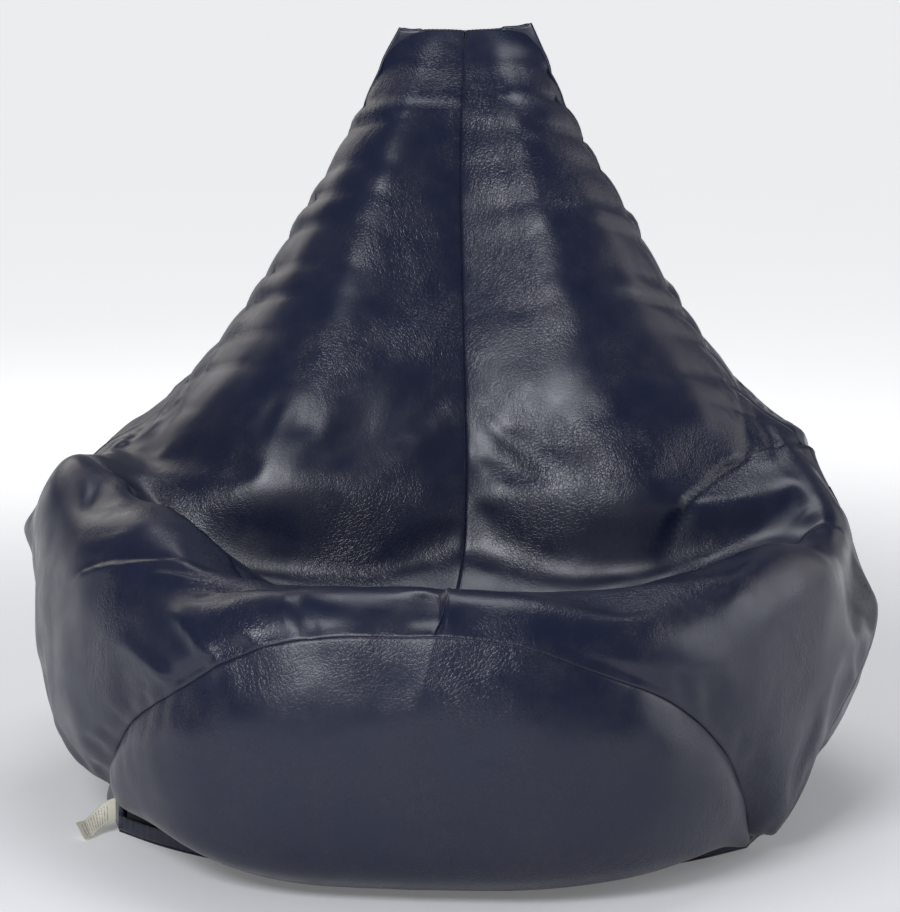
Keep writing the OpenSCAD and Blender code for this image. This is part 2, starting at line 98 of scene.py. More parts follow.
def make_studio():
    world = bpy.data.worlds.new("studio")
    bpy.context.scene.world = world
    world.use_nodes = True
    tree = world.node_tree
    background = tree.nodes["Background"]
    background.inputs["Color"].default_value = (0.90, 0.93, 1.0, 1)
    height = tree.nodes.new("ShaderNodeSeparateXYZ")
    tree.links.new(tree.nodes.new("ShaderNodeTexCoord").outputs["Generated"], height.inputs[0])
    backdrop = tree.nodes.new("ShaderNodeMapRange")
    for key, value in BACKDROP:
        backdrop.inputs[key].default_value = value
    tree.links.new(height.outputs["Z"], backdrop.inputs["Value"])
    tree.links.new(backdrop.outputs["Result"], background.inputs["Strength"])
    for light in LIGHTS:
        softbox(*light)
    h = FLOOR_HALF
    floor = new_mesh("floor", [(-h, -h, 0), (h, -h, 0), (h, h, 0), (-h, h, 0)], [(0, 1, 2, 3)], False)
    floor.location.z = -FLOOR_DROP
    floor.data.materials.append(floor_material())


# ---- node materials
class Nodes:
    """Short forms for building one material's nodes."""

    def __init__(self, name):
        self.material = bpy.data.materials.new(name)
        self.material.use_nodes = True
        self.tree = self.material.node_tree
        self.shader = self.tree.nodes["Principled BSDF"]
        self.place = self.add("ShaderNodeTexCoord").outputs["Object"]

    def put(self, socket, value):
        """Sets a socket to a number, vector or colour, or links another socket to it."""
        if isinstance(value, tuple):
            socket.default_value = (*value, 1) if socket.type == "RGBA" else value
        elif isinstance(value, (int, float)):
            socket.default_value = value
        else:
            self.tree.links.new(value, socket)

    def add(self, kind, inputs=(), **settings):
        node = self.tree.nodes.new(kind)
        for key, value in settings.items():
            setattr(node, key, value)
        for key, value in dict(inputs).items():
            self.put(node.inputs[key], value)
        return node

    def noise(self, scale, detail=3, rough=0.5, place=None):
        inputs = {"Scale": scale, "Detail": detail, "Roughness": rough, "Vector": place or self.place}
        return self.add("ShaderNodeTexNoise", inputs).outputs

    def cells(self, scale, place=None):
        """Distance to the nearest edge of a pattern of cells."""
        inputs = {"Scale": scale, "Vector": place or self.place}
        return self.add("ShaderNodeTexVoronoi", inputs, feature="DISTANCE_TO_EDGE").outputs["Distance"]

    def ramp(self, source, low, high, to_low=0.0, to_high=1.0):
        inputs = {"From Min": low, "From Max": high, "To Min": to_low, "To Max": to_high, "Value": source}
        return self.add("ShaderNodeMapRange", inputs, interpolation_type="SMOOTHSTEP").outputs["Result"]

    def math(self, operation, a, b):
        return self.add("ShaderNodeMath", {0: a, 1: b}, operation=operation).outputs[0]

    def mix(self, factor, a, b):
        node = self.add("ShaderNodeMix", {"Factor": factor, "A": a, "B": b}, data_type="RGBA")
        return next(o for o in node.outputs if o.type == "RGBA")

    def bent(self, source, amount):
        """The object coordinates, pushed about by a noise."""
        offset = self.add("ShaderNodeVectorMath", {0: source, "Scale": amount}, operation="SCALE")
        inputs = {0: self.place, 1: offset.outputs[0]}
        return self.add("ShaderNodeVectorMath", inputs, operation="ADD").outputs[0]

    def bump(self, height, distance, strength=1.0, under=None):
        node = self.add("ShaderNodeBump", {"Strength": strength, "Distance": distance, "Height": height})
        if under:
            self.put(node.inputs["Normal"], under)
        return node.outputs["Normal"]

    def set(self, **values):
        for key, value in values.items():
            self.put(self.shader.inputs[key.replace("_", " ")], value)
        return self.material


def floor_material():
    n = Nodes("pale_floor")
    tone = n.ramp(n.noise(0.6)["Fac"], 0.3, 0.7)
    pale = n.mix(tone, (0.84, 0.85, 0.87), (0.88, 0.885, 0.90))
    n.shader.inputs["Emission Color"].default_value = (1.0, 1.0, 1.0, 1)
    # Painted light: the floor glows though it is no lamp, faintly near the bag and more brightly further out.
    far = n.add("ShaderNodeVectorMath", {0: n.place}, operation="LENGTH")
    painted_floor_glow = n.ramp(far.outputs["Value"], 0.7, 2.4, 0.14, 0.70)
    return n.set(Base_Color=pale, Roughness=0.7, Emission_Strength=painted_floor_glow)


def leather(name, deep, worn, crease=1.0):
    """Leather-look cloth: patches of fine crinkle over a pebble grain, with a rubbed antique tone and painted
    shade in the crinkle's grooves.
    """
    n = Nodes(name)
    drift = n.bent(n.noise(35, 3)["Color"], 0.016)
    crinkle = n.ramp(n.cells(270, drift), 0.0, 0.2)
    strokes = n.add("ShaderNodeMapping", {
        "Scale": (1.0, 0.6, 0.32), "Rotation": (0.2, 0.35, 0),
        "Vector": n.bent(n.noise(14, 3)["Color"], 0.05)})
    wrinkle = n.noise(150, 4, 0.62, strokes.outputs[0])["Fac"]
    pebble = n.noise(1100, 2, 0.6)["Fac"]
    patch_of = n.ramp(n.noise(7.5, 3, 0.55)["Fac"], 0.42, 0.66, 0.12, 1.0)
    normal = n.bump(pebble, 0.00012, 0.4)
    normal = n.bump(n.math("MULTIPLY", crinkle, patch_of), 0.00024 * crease, 0.7, normal)
    normal = n.bump(n.math("MULTIPLY", wrinkle, patch_of), 0.0015 * crease, 0.6, normal)
    mottle = n.ramp(n.noise(15, 5, 0.62)["Fac"], 0.36, 0.70)
    fine = n.ramp(n.noise(130, 4, 0.6)["Fac"], 0.3, 0.75)
    rubbed = n.math("MULTIPLY", mottle, n.math("ADD", n.math("MULTIPLY", fine, 0.7), 0.3))
    colour = n.mix(rubbed, deep, worn)
    # Painted shade: the colour darkens in the crinkle's grooves, where the bump sinks.
    colour = n.mix(n.ramp(crinkle, 0.0, 0.9, 0.4, 0.0), colour, tuple(0.5 * v for v in deep))
    rough = n.ramp(n.noise(30, 4)["Fac"], 0.25, 0.8, 0.27, 0.39)
    return n.set(Base_Color=colour, Roughness=rough, Specular_IOR_Level=0.5, Normal=normal)


def cloth(name, light, dark, scale, roughness=0.85, depth=0.0002):
    """Plain woven cloth: two crossed sets of fine threads."""
    n = Nodes(name)
    threads = []
    for turn in ((0, 0, 0), (0, math.radians(90), math.radians(90))):
        place = n.add("ShaderNodeMapping", {"Rotation": turn, "Vector": n.place}).outputs[0]
        wave = n.add("ShaderNodeTexWave", {"Scale": scale, "Distortion": 0.6, "Vector": place},
                     bands_direction="DIAGONAL")
        threads.append(wave.outputs["Fac"])
    weave = n.math("MULTIPLY", threads[0], threads[1])
    tone = n.math("ADD", n.math("MULTIPLY", weave, 0.6), n.math("MULTIPLY", n.noise(30)["Fac"], 0.4))
    return n.set(Base_Color=n.mix(tone, dark, light), Roughness=roughness, Normal=n.bump(weave, depth, 0.6))


def plastic(name, colour, roughness, metallic=0.0, worn=None):
    n = Nodes(name)
    rub = n.ramp(n.noise(260, 3)["Fac"], 0.45, 0.75)
    tone = n.mix(rub, colour, worn or tuple(min(1, 1.15 * v) for v in colour))
    rough = n.ramp(n.noise(120, 2)["Fac"], 0.3, 0.7, roughness - 0.06, roughness + 0.06)
    normal = n.bump(n.noise(1400, 2)["Fac"], 0.00005, 0.4)
    return n.set(Base_Color=tone, Roughness=rough, Metallic=metallic, Normal=normal)


# ---- the bag's shape
BAND_H = 40
ZIP_R, ZIP_Y, ZIP_Z, ZIP_HALF = 420, 120, 28, 46
EDGE_R = ZIP_R + 2.6
SEAM_Z = 2.4
REAR_Y = -18
CORNER = (EDGE_R * math.sin(math.radians(ZIP_HALF)), ZIP_Y - EDGE_R * math.cos(math.radians(ZIP_HALF)),
          BAND_H)
SEAT_NET = [
    [[0, 226, 760], [14, 226, 761], [28, 227, 762], [42, 228, 764], [56, 229, 766], [69, 230, 770]],
    [[0, 184, 682], [28, 176, 682], [57, 170, 681], [83, 181, 677], [103, 199, 672], [116, 218, 668]],
    [[0, 142, 585], [45, 128, 586], [93, 120, 584], [136, 141, 577], [163, 173, 567], [178, 203, 560]],
    [[0, 98, 489], [60, 85, 490], [125, 76, 487], [185, 105, 477], [224, 148, 464], [243, 186, 455]],
    [[0, 54, 402], [78, 36, 402], [163, 28, 400], [240, 60, 391], [290, 112, 380], [316, 160, 372]],
    [[0, 18, 316], [94, 0, 312], [192, -8, 312], [282, 34, 322], [345, 84, 336], [383, 118, 335]],
    [[0, -14, 234], [112, -28, 222], [226, -28, 238], [318, 4, 298], [374, 36, 330], [410, 62, 285]],
    [[0, -98, 205], [120, -108, 208], [234, -98, 236], [316, -78, 294], [378, -46, 314], [427, 8, 232]],
    [[0, -205, 228], [125, -212, 236], [235, -196, 264], [316, -168, 288], [376, -118, 262], [411, -54, 158]],
    [[0, -290, 268], [123, -286, 272], [230, -262, 276], [304, -228, 254], [357, -172, 184], [384, -105, 100]],
    [[0, -352, 284], [120, -346, 280], [220, -318, 252], [284, -276, 202], [332, -212, 124], [350, -145, 60]],
    [[0, -392, 254], [110, -386, 247], [195, -358, 216], [252, -312, 165], [290, -252, 102], list(CORNER)],
]
REAR_MIDDLE = [[226, 760], [262, 680], [305, 582], [345, 482], [378, 398], [400, 322], [412, 244],
               [413, 176], [407, 120], [394, 78], [376, 46], [350, 20], [322, SEAM_Z]]
REAR_ROUND = [1, 0.95, 0.92, 0.9, 0.9, 0.9, 0.95, 1, 1, 1, 1, 1, 1]
REAR_CENTRED = [0, 0, 0, 0, 0, 0, 0.33, 0.67, 1, 1, 1, 1, 1]
FRONT_FALL = [[1, 0, 1, 0], [1, 20, 0.66, 0], [1, 18, 0.30, 4], [0.9, 6, 0.05, 18], [0.45, 4, 0, 33],
              [0.22, 6, 0, 16], [0.08, 5, 0, 1], [0, 0, 0, 0]]
FRONT_WEIGHT = [1, 1, 0.9, 0.72, 0.45, 0]
SETTLED = [
    ((383, 118, 335), 90, (-26, 0, 14)),
    ((-383, 118, 335), 80, (6, 0, -8)),
    ((430, 0, 210), 110, (4, 0, -22)),
    ((-430, 0, 240), 110, (-2, 0, 14)),
    ((-325, -55, 310), 75, (0, 0, 22)),
    ((-245, -150, 265), 70, (0, 0, 50)),
    ((-205, -215, 270), 60, (0, 0, 18)),
    ((395, -25, 300), 85, (0, 0, -46)),
    ((0, 60, 400), 160, (12, 0, 0)),
    ((0, -20, 260), 120, (14, 0, 0)),
    ((0, -330, 280), 110, (36, 0, 0)),
]
SPANS = 5
FINE = 17                               # cells along each span of the finished cover
SEAM_RINGS = (0.018, 0.04)              # extra lines beside each seam, in spans
COARSE = 6                              # cells along each span in the cloth simulation


def rear_net():
    """Rear rows: part of an ellipse from the middle seam to the side seam, about each row's centre."""
    sides = [row[-1] for row in SEAT_NET] + [[CORNER[0], CORNER[1], SEAM_Z]]
    rows = [SEAT_NET[0]]
    for i in range(1, len(sides)):
        sx, sy, sz = sides[i]
        my, mz = REAR_MIDDLE[i]
        cy = sy + (REAR_Y - sy) * REAR_CENTRED[i]
        end = math.acos((sy - cy) / (my - cy))
        power = REAR_ROUND[i]
        row = []
        for k in range(SPANS):
            t = end * k / SPANS
            back = math.copysign(abs(math.cos(t)) ** power, math.cos(t))
            out = math.sin(t) ** power / math.sin(end) ** power
            row.append([sx * out, cy + (my - cy) * back, sz + (mz - sz) * math.cos(math.pi / 2 * k / SPANS)])
        rows.append(row + [list(sides[i])])
    return rows


def front_net():
    """Front rows: each column falls from the curved seam over the belly and back up to the zip."""
    rows = []
    for share, reach, height, drop in FRONT_FALL:
        row = []
        for k, (x, y, z) in enumerate(SEAT_NET[-1]):
            out = math.hypot(x, y - ZIP_Y)
            r = EDGE_R + (out - EDGE_R) * share + reach * FRONT_WEIGHT[k]
            row.append([x / out * r, ZIP_Y + (y - ZIP_Y) / out * r,
                        BAND_H + (z - BAND_H) * height - drop * FRONT_WEIGHT[k]])
        rows.append(row)
    return rows


def along(points, t):
    """Smooth curve through points (first axis) at the parameters t."""
    points = np.asarray(points, float)
    ghost = np.concatenate([[2 * points[0] - points[1]], points, [2 * points[-1] - points[-2]]])
    i = np.clip(np.floor(t).astype(int), 0, len(points) - 2)
    f = (t - i).reshape((-1,) + (1,) * (points.ndim - 1))
    p0, p1, p2, p3 = ghost[i], ghost[i + 1], ghost[i + 2], ghost[i + 3]
    return 0.5 * (2 * p1 + (p2 - p0) * f + (2 * p0 - 5 * p1 + 4 * p2 - p3) * f ** 2
                  + (3 * p1 - p0 - 3 * p2 + p3) * f ** 3)


def patch(net, rows, columns):
    """The smooth surface through a net, at the given row and column parameters."""
    return along(along(net, rows).swapaxes(0, 1), columns).swapaxes(0, 1)


def settled(points):
    moved = points.copy()
    for centre, reach, shift in SETTLED:
        weight = np.exp(-((points - centre) ** 2).sum(-1) / reach ** 2)
        moved += weight[..., None] * np.array(shift, float)
    return moved


def lines(spans, count, rings):
    """Where a panel's grid lines are: count to a span, and closer ones beside both edges."""
    beside = list(rings) + [spans - r for r in rings]
    return np.unique(np.round(np.concatenate([np.linspace(0, spans, spans * count + 1), beside]), 6))


TURNED = {"seat": False, "rear": True, "front": False, "band": False}


class Skin:
    """The bag's panels as grids over one closed set of points, which they share along their seams."""

    def __init__(self, count, rings=()):
        seat_rows = lines(len(SEAT_NET) - 1, count, rings)
        band_rows = lines(1, count, rings)
        self.rows = {"seat": seat_rows, "front": lines(len(FRONT_FALL) - 1, count, rings), "band": band_rows,
                     "rear": np.concatenate([seat_rows, seat_rows[-1] + band_rows[1:]])}
        self.half_columns = lines(SPANS, count, rings)
        self.columns = np.concatenate([-self.half_columns[:0:-1], self.half_columns])
        self.middle = len(self.half_columns) - 1
        self.merge(self.make_grids())

    def make_grids(self):
        seat, rear, front, band = {}, {}, {}, {}
        for s in (1, -1):
            def half(net, name):
                points = patch(np.array(net, float), self.rows[name], self.half_columns)
                return settled(points * np.array([s, 1, 1]))
            seat[s] = half(SEAT_NET, "seat")
            rear[s] = half(rear_net(), "rear")
            front[s] = half(front_net(), "front")
            front[s][0] = seat[s][-1]
            front[s][:, -1] = seat[s][-1, -1]
            band[s] = np.repeat(front[s][-1:], len(self.rows["band"]), axis=0)
            band[s][:, :, 2] += (SEAM_Z - band[s][:, :, 2]) * self.rows["band"][:, None]
            n = len(self.rows["seat"])
            rear[s][0] = seat[s][0]
            rear[s][:n, -1] = seat[s][:, -1]
            rear[s][n:, -1] = band[s][1:, -1]
        grids = {"seat": seat, "rear": rear, "front": front, "band": band}
        return {k: np.concatenate([g[-1][:, :0:-1], g[1]], axis=1) * MM for k, g in grids.items()}

    def merge(self, grids):
        points = np.concatenate([g.reshape(-1, 3) for g in grids.values()])
        keys = np.round(points * 1e6).astype(np.int64)
        _, first, inverse = np.unique(keys, axis=0, return_index=True, return_inverse=True)
        self.points = points[first]
        self.index = {}
        faces = []
        start = 0
        for k, g in grids.items():
            size = g.shape[0] * g.shape[1]
            self.index[k] = inverse.ravel()[start:start + size].reshape(g.shape[:2])
            faces.append(self.index[k].ravel()[grid_faces(*g.shape[:2], TURNED[k])])
            start += size
        self.faces = np.concatenate(faces)
        low = list(self.index["band"][-1]) + list(self.index["rear"][-1][::-1])[1:-1]
        self.hub = len(self.points)
        self.points = np.concatenate([self.points, [[0, 0, SEAM_Z * MM]]])
        self.floor_faces = [(low[n], low[n - 1], self.hub) for n in range(len(low))]
        m = self.middle
        seat, rear = self.index["seat"], self.index["rear"]
        self.seams = {"side_right": seat[:, -1], "side_left": seat[:, 0], "seat_centre": seat[:, m],
                      "rear_centre": rear[:, m], "top": seat[0], "front_arc": seat[-1],
                      "zip": self.index["front"][-1], "base": np.array(low + low[:1]),
                      "edge_right": self.index["band"][:, -1], "edge_left": self.index["band"][:, 0]}

    def quads(self):
        """All faces as tuples, without repeated points."""
        return clean_faces(self.faces.tolist()) + self.floor_faces

    def normals(self, points):
        """Area-weighted vertex normals."""
        f = self.faces
        n = np.cross(points[f[:, 2]] - points[f[:, 0]], points[f[:, 3]] - points[f[:, 1]])
        total = np.zeros_like(points)
        for c in range(4):
            np.add.at(total, f[:, c], n)
        total[self.hub] = (0, 0, -1)
        return total / np.maximum(np.linalg.norm(total, axis=1, keepdims=True), 1e-12)

    def carried(self, coarse, shift):
        """A shift of each of a coarser skin's points, smoothly carried over to this skin's points."""
        out = np.zeros_like(self.points)
        for name in ("band", "front", "rear", "seat"):
            at = self.rows[name] * COARSE, (self.columns + SPANS) * COARSE
            out[self.index[name]] = patch(shift[coarse.index[name]], *at)
        return out


def grid_faces(rows, columns, turned=False):
    i, j = np.meshgrid(np.arange(rows - 1), np.arange(columns - 1), indexing="ij")
    a = (i * columns + j).ravel()
    quad = np.stack([a, a + columns, a + columns + 1, a + 1], axis=1)
    return quad[:, ::-1] if turned else quad


def clean_faces(faces):
    out = []
    for f in faces:
        g = [v for n, v in enumerate(f) if v != f[n - 1]]
        if len(set(g)) > 2:
            out.append(tuple(g))
    return out


def new_mesh(name, points, faces, smooth=True):
    mesh = bpy.data.meshes.new(name)
    mesh.from_pydata(np.asarray(points, float).tolist(), [], [tuple(f) for f in faces])
    mesh.update()
    mesh.polygons.foreach_set("use_smooth", [smooth] * len(mesh.polygons))
    return add_object(name, mesh)


# ---- filling the cover: cloth simulation
FRAMES = 18
MOST_MOVE = 14 * MM                     # a point that the simulation moves further is held to this
CLOTH_SETTINGS = {
    "quality": 5, "mass": 0.4, "tension_stiffness": 30, "compression_stiffness": 30,
    "shear_stiffness": 12, "bending_stiffness": 6, "tension_damping": 12, "compression_damping": 12,
    "vertex_group_mass": "held", "pin_stiffness": 1, "use_pressure": True,
    "uniform_pressure_force": 2.0, "vertex_group_shrink": "held", "shrink_min": -0.016, "shrink_max": 0,
}


def nearest_on(points, line):
    """For each point: its distance to a line, how far along the line that is, the place and the direction."""
    best = np.full(len(points), 1e9)
    far = np.zeros(len(points))
    place = np.zeros_like(points)
    way = np.zeros_like(points)
    start = 0.0
    for a, b in zip(line[:-1], line[1:]):
        span = b - a
        size = np.linalg.norm(span)
        if size < 1e-9:
            continue
        t = np.clip((points - a) @ span / size ** 2, 0, 1)
        spot = a + t[:, None] * span
        gap = np.linalg.norm(points - spot, axis=1)
        closer = gap < best
        best[closer] = gap[closer]
        far[closer] = start + t[closer] * size
        place[closer] = spot[closer]
        way[closer] = span / size
        start += size
    return best, far, place, way


def filled(skin):
    """Shift of each point once pressure fills the loosely cut panels between their held seams."""
    gap = np.full(len(skin.points), 1e9)
    for index in skin.seams.values():
        gap = np.minimum(gap, nearest_on(skin.points, skin.points[index])[0])
    held = 0.15 + 0.6 * ease((skin.points[:, 2] / MM - 300) / 140) + 0.8 * np.exp(-(gap / (14 * MM)) ** 2)
    held[skin.index["front"].ravel()] = 1
    held[skin.points[:, 2] < 1.15 * BAND_H * MM] = 1
    bag = new_mesh("simulated", skin.points, skin.quads())
    group = bag.vertex_groups.new(name="held")
    for n, weight in enumerate(held.tolist()):
        group.add([n], weight, "REPLACE")
    cloth = bag.modifiers.new("cloth", "CLOTH")
    for key, value in CLOTH_SETTINGS.items():
        setattr(cloth.settings, key, value)
    cloth.settings.effector_weights.gravity = 0
    cloth.collision_settings.use_collision = False
    scene = bpy.context.scene
    cloth.point_cache.frame_start = 1
    cloth.point_cache.frame_end = FRAMES
    for n in range(1, FRAMES + 1):
        scene.frame_set(n)
    done = bag.evaluated_get(bpy.context.evaluated_depsgraph_get())
    after = np.empty(len(skin.points) * 3)
    done.data.vertices.foreach_get("co", after)
    shift = after.reshape(-1, 3) - skin.points
    bpy.data.objects.remove(bag)
    scene.frame_set(1)
    size = np.linalg.norm(shift, axis=1, keepdims=True)
    return shift * np.minimum(1, MOST_MOVE / np.maximum(size, 1e-9))


# ---- creases and puckers, in millimetres
# A crease is a line over the cover with a raised side and a sunk side. Each row holds the line's
# points, then the height and width of its left side and of its right side, seen from outside.
CREASES = {
    "right_back_over_arm": ([(330, 88, 342), (308, 76, 341), (278, 43, 330), (253, 15, 314), (231, -4, 295),
        (217, -17, 263), (208, -24, 238)], (-7, 17), (2, 14)),
    "right_wing_pinch": ([(384, 150, 325), (368, 128, 334), (340, 97, 342), (308, 76, 341), (285, 52, 333)],
        (3, 14), (-5, 15)),
    "right_arm_rim": ([(412, 30, 252), (400, 10, 266), (382, 0, 276), (352, -25, 281), (333, -80, 286),
        (315, -137, 288), (282, -160, 277), (250, -205, 274)], (4, 22), (-7, 12)),
    "right_arm_edge": ([(404, 60, 268), (396, 38, 282), (372, 18, 288), (345, -6, 290), (322, -60, 290),
        (300, -120, 288)], (2.5, 5), (2.5, 5)),
    "left_crest": ([(-380, 6, 337), (-350, -27, 339), (-300, -92, 328), (-243, -159, 310), (-215, -176, 295),
        (-190, -191, 277), (-160, -240, 276), (-120, -321, 280)], (-12, 15), (4, 14)),
    "left_arm_long": ([(-338, -185, 245), (-328, -199, 259), (-301, -223, 274), (-273, -243, 281),
        (-237, -257, 288), (-195, -262, 290)], (-6, 22), (3, 14)),
    "left_arm_middle": ([(-252, -262, 278), (-231, -275, 282), (-205, -285, 281), (-185, -287, 283)],
        (-4, 9), (3, 9)),
    "left_arm_front": ([(-222, -294, 268), (-212, -300, 272), (-189, -304, 276), (-163, -313, 278),
        (-134, -330, 279), (-110, -342, 280)], (-6, 10), (3, 9)),
    "left_arm_soft": ([(-345, -120, 275), (-305, -190, 290), (-261, -207, 307), (-226, -190, 306)],
        (3, 26), (3, 26)),
    "left_pucker_1": ([(-203, -362, 190), (-233, -328, 204), (-262, -290, 215), (-285, -255, 225)],
        (6, 9), (6, 7)),
    "left_pucker_2": ([(-158, -382, 208), (-180, -363, 226), (-204, -335, 246), (-226, -305, 256)],
        (6, 8), (6, 7)),
    "left_pucker_3": ([(-118, -385, 235), (-139, -374, 243), (-158, -350, 258), (-170, -330, 268)],
        (4.5, 7), (4.5, 7)),
    "left_pucker_4": ([(-92, -392, 247), (-99, -370, 265), (-108, -345, 275)], (4, 7), (-4.5, 7)),
    "front_slit": ([(30, -393, 253), (31, -376, 270), (30, -352, 282), (28, -325, 283)], (-5, 12), (4, 16)),
}
# Places along each seam where the cloth is caught up, in millimetres from the seam's start, then how
# far the puckers reach, how deep they are and how much they slant.
PUCKERS = {
    "side_right": ([20, 58, 92, 140, 176, 226, 262, 316, 350, 392, 446, 505, 560, 640, 720, 790, 860],
        80, 9.0, 0.5),
    "side_left": ([16, 50, 92, 126, 178, 214, 256, 304, 344, 398, 440, 512, 575, 650, 715, 800, 860],
        80, 9.0, 0.5),
    "seat_centre": ([40, 130, 205, 300, 372, 460, 560, 640, 700, 760, 800, 850], 40, 1.2, 0.2),
    "front_arc": ([30, 80, 112, 150, 176, 205, 238, 262, 300, 340, 400, 470, 560, 640, 700, 760],
        30, 2.2, 0.3),
    "rear_centre": ([60, 150, 220, 330, 420, 520, 600, 700, 780], 50, 2.5, 0.0),
    "base": (list(range(20, 2200, 74)), 45, 3.0, 0.2),
}
# How far each seam sinks into the cover and how narrow that groove is, then the wider dip beside it
GROOVES = {
    "side_right": (1.6, 2.0, 1.0, 9), "side_left": (1.6, 2.0, 1.0, 9), "top": (0.4, 1.5, 0.0, 1),
    "seat_centre": (0.7, 1.3, 0.4, 6), "rear_centre": (1.4, 2.0, 0.9, 8), "front_arc": (1.1, 1.4, 0.5, 6),
}
# Where the finished cover sags or is drawn in: a centre, a reach and a shift
SAGS = [
    ((-69, 230, 770), 30, (0, 0, -8)),
    ((69, 230, 770), 30, (0, 0, -3)),
    ((325, -185, 60), 56, (4, -12, -42)),
    ((-232, -272, 25), 80, (6, 10, 19)),
    ((-306, -92, 316), 42, (2, 0, 16)),
    ((-262, -138, 310), 30, (0, 0, 5)),
    ((345, -60, 282), 70, (0, 0, -9)),
    ((-425, 10, 180), 80, (12, 0, 0)),
    ((-426, 25, 262), 26, (-13, 0, 0)),
    ((-205, -345, 205), 75, (0, 0, -17)),
    ((170, -366, 228), 80, (0, 0, -13)),
    ((385, 40, 288), 45, (12, 0, 0)),
    ((431, 5, 215), 28, (7, 0, 0)),
]


def smoothed(points, count):
    return along(np.array(points, float), np.linspace(0, len(points) - 1, count))


def ease(x):
    x = np.clip(x, 0, 1)
    return x * x * (3 - 2 * x)


def creased(points, normals):
    """Height of all creases at each point."""
    height = np.zeros(len(points))
    for line, left, right in CREASES.values():
        path = smoothed(line, 6 * len(line))
        reach = 4 * max(left[1], right[1])
        near = np.all((points > path.min(0) - reach) & (points < path.max(0) + reach), axis=1)
        p, n = points[near], normals[near]
        gap, far, place, way = nearest_on(p, path)
        length = np.linalg.norm(np.diff(path, axis=0), axis=1).sum()
        side = ((p - place) * np.cross(n, way)).sum(1)
        flat = np.sign(side) * np.hypot(side, 0.35 * gap)
        turn = ease(0.5 + flat / 9)
        rise = turn * left[0] * np.exp(-(np.abs(flat) / left[1]) ** 1.3)
        rise += (1 - turn) * right[0] * np.exp(-(np.abs(flat) / right[1]) ** 1.3)
        fade = ease(far / (0.3 * length)) * ease((length - far) / (0.3 * length))
        beyond = np.exp(-(np.maximum(0, gap - np.abs(side)) / 12) ** 2)
        height[near] += rise * fade * beyond
    return height


def puckered(count, near_seam, on_back):
    """Height of the puckers that the seams gather; those of the side seams are smaller off the back."""
    height = np.zeros(count)
    for name, (marks, reach, depth, slant) in PUCKERS.items():
        gap, far = near_seam[name][:2]
        near = gap < 3.5 * reach
        place = far[near] + slant * gap[near]
        marks = np.array(marks, float)
        n = np.clip(np.searchsorted(marks, place) - 1, 0, len(marks) - 2)
        share = np.clip((place - marks[n]) / (marks[n + 1] - marks[n]), 0, 1)
        size = depth * (0.65 + 0.35 * np.sin(2.4 * n + depth))
        wave = np.sin(np.pi * share) ** 0.75 - 0.5
        ends = ease(far[near] / 40) * ease((marks[-1] - place) / 40)
        start = 0.7 + 0.3 * ease(gap[near] / 22)
        height[near] += size * wave * ends * start * np.exp(-(gap[near] / reach) ** 1.4) * (
            on_back[near] if name.startswith("side") else 1)
    return height


def lumps(points, size, depth, seed):
    """Smooth uneven swelling, as sums of waves in seeded directions."""
    random = np.random.default_rng(seed)
    total = np.zeros(len(points))
    for _ in range(14):
        way = random.normal(size=3)
        way *= 2 * math.pi / (size * random.uniform(0.7, 1.5)) / np.linalg.norm(way)
        total += np.sin(points @ way + random.uniform(0, 2 * math.pi))
    return depth * total / math.sqrt(14)


def sagged(skin, filled_points):
    """The filled cover once it has sagged, apart from its edges along the zip and the base."""
    rim = nearest_on(filled_points, filled_points[skin.seams["zip"]])[0]
    rim = np.minimum(rim, nearest_on(filled_points, filled_points[skin.seams["base"]][::4])[0])
    sag = np.zeros_like(filled_points)
    for centre, reach, shift in SAGS:
        near = np.exp(-((filled_points / MM - centre) ** 2).sum(1) / reach ** 2)
        sag += near[:, None] * np.array(shift, float) * MM
    return filled_points + sag * ease(rim / MM / 24)[:, None]


def finished_points(skin, filled_points):
    """The cover's outer face: sagging, creased and puckered, with grooves along its seams."""
    fixed = np.zeros(len(filled_points), bool)
    fixed[np.concatenate([skin.index["band"].ravel(), skin.index["front"][-1]])] = True
    points = sagged(skin, filled_points) / MM
    normals = skin.normals(points)
    near_seam = {name: nearest_on(points, points[skin.seams[name]][::4]) for name in PUCKERS | GROOVES}
    above = ease((points[:, 2] - 1.05 * BAND_H) / 45)
    slim = 0.12 + 0.88 * ease(near_seam["top"][0] / 95)
    on_back = 0.15 + 0.85 * ease((points[:, 2] - 345) / 70)
    height = above * (creased(points, normals) + slim * puckered(len(points), near_seam, on_back))
    height += above * slim * (lumps(points, 170, 1.6, 3) + lumps(points, 60, 0.5, 4))
    sunk_in = np.zeros(len(points))
    for name, (depth, width, dip, dip_width) in GROOVES.items():
        gap = near_seam[name][0]
        both = depth * np.exp(-(gap / width) ** 2) + dip * np.exp(-(gap / dip_width) ** 2) * above
        sunk_in = np.maximum(sunk_in, both * slim)
    points += normals * (height - sunk_in)[:, None]
    points[fixed] = skin.points[fixed] / MM
    points[:, 2] = np.maximum(points[:, 2], np.where(fixed, 0, 1.2))
    return points * MM


# ---- sewn pieces
COVER_T = 1.5 * MM
LINER_T = 0.5 * MM
BASE_T = 1.6 * MM
BASE_MIDDLE = 0.03                      # radius of the fan of faces at the base sheet's centre
FACING_T = 1.2 * MM
LABEL_T = 0.4 * MM
EDGE_GAP = 0.2 * MM                     # from a panel's edge to the middle of its seam
ALLOWANCE = 7 * MM                      # cloth turned in along a seam
LINER_UNDER = 16 * MM                   # the liner's depth, clear of the cover's creases and allowances


def unit(v):
    return v / np.maximum(np.linalg.norm(v, axis=-1, keepdims=True), 1e-12)


def merged(points, faces):
    """The same mesh with its coincident points made one."""
    flat = np.asarray(points).reshape(-1, 3)
    _, first, inverse = np.unique(np.round(flat * 1e7).astype(np.int64), axis=0,
                                  return_index=True, return_inverse=True)
    return flat[first], clean_faces(inverse.ravel()[faces].tolist())


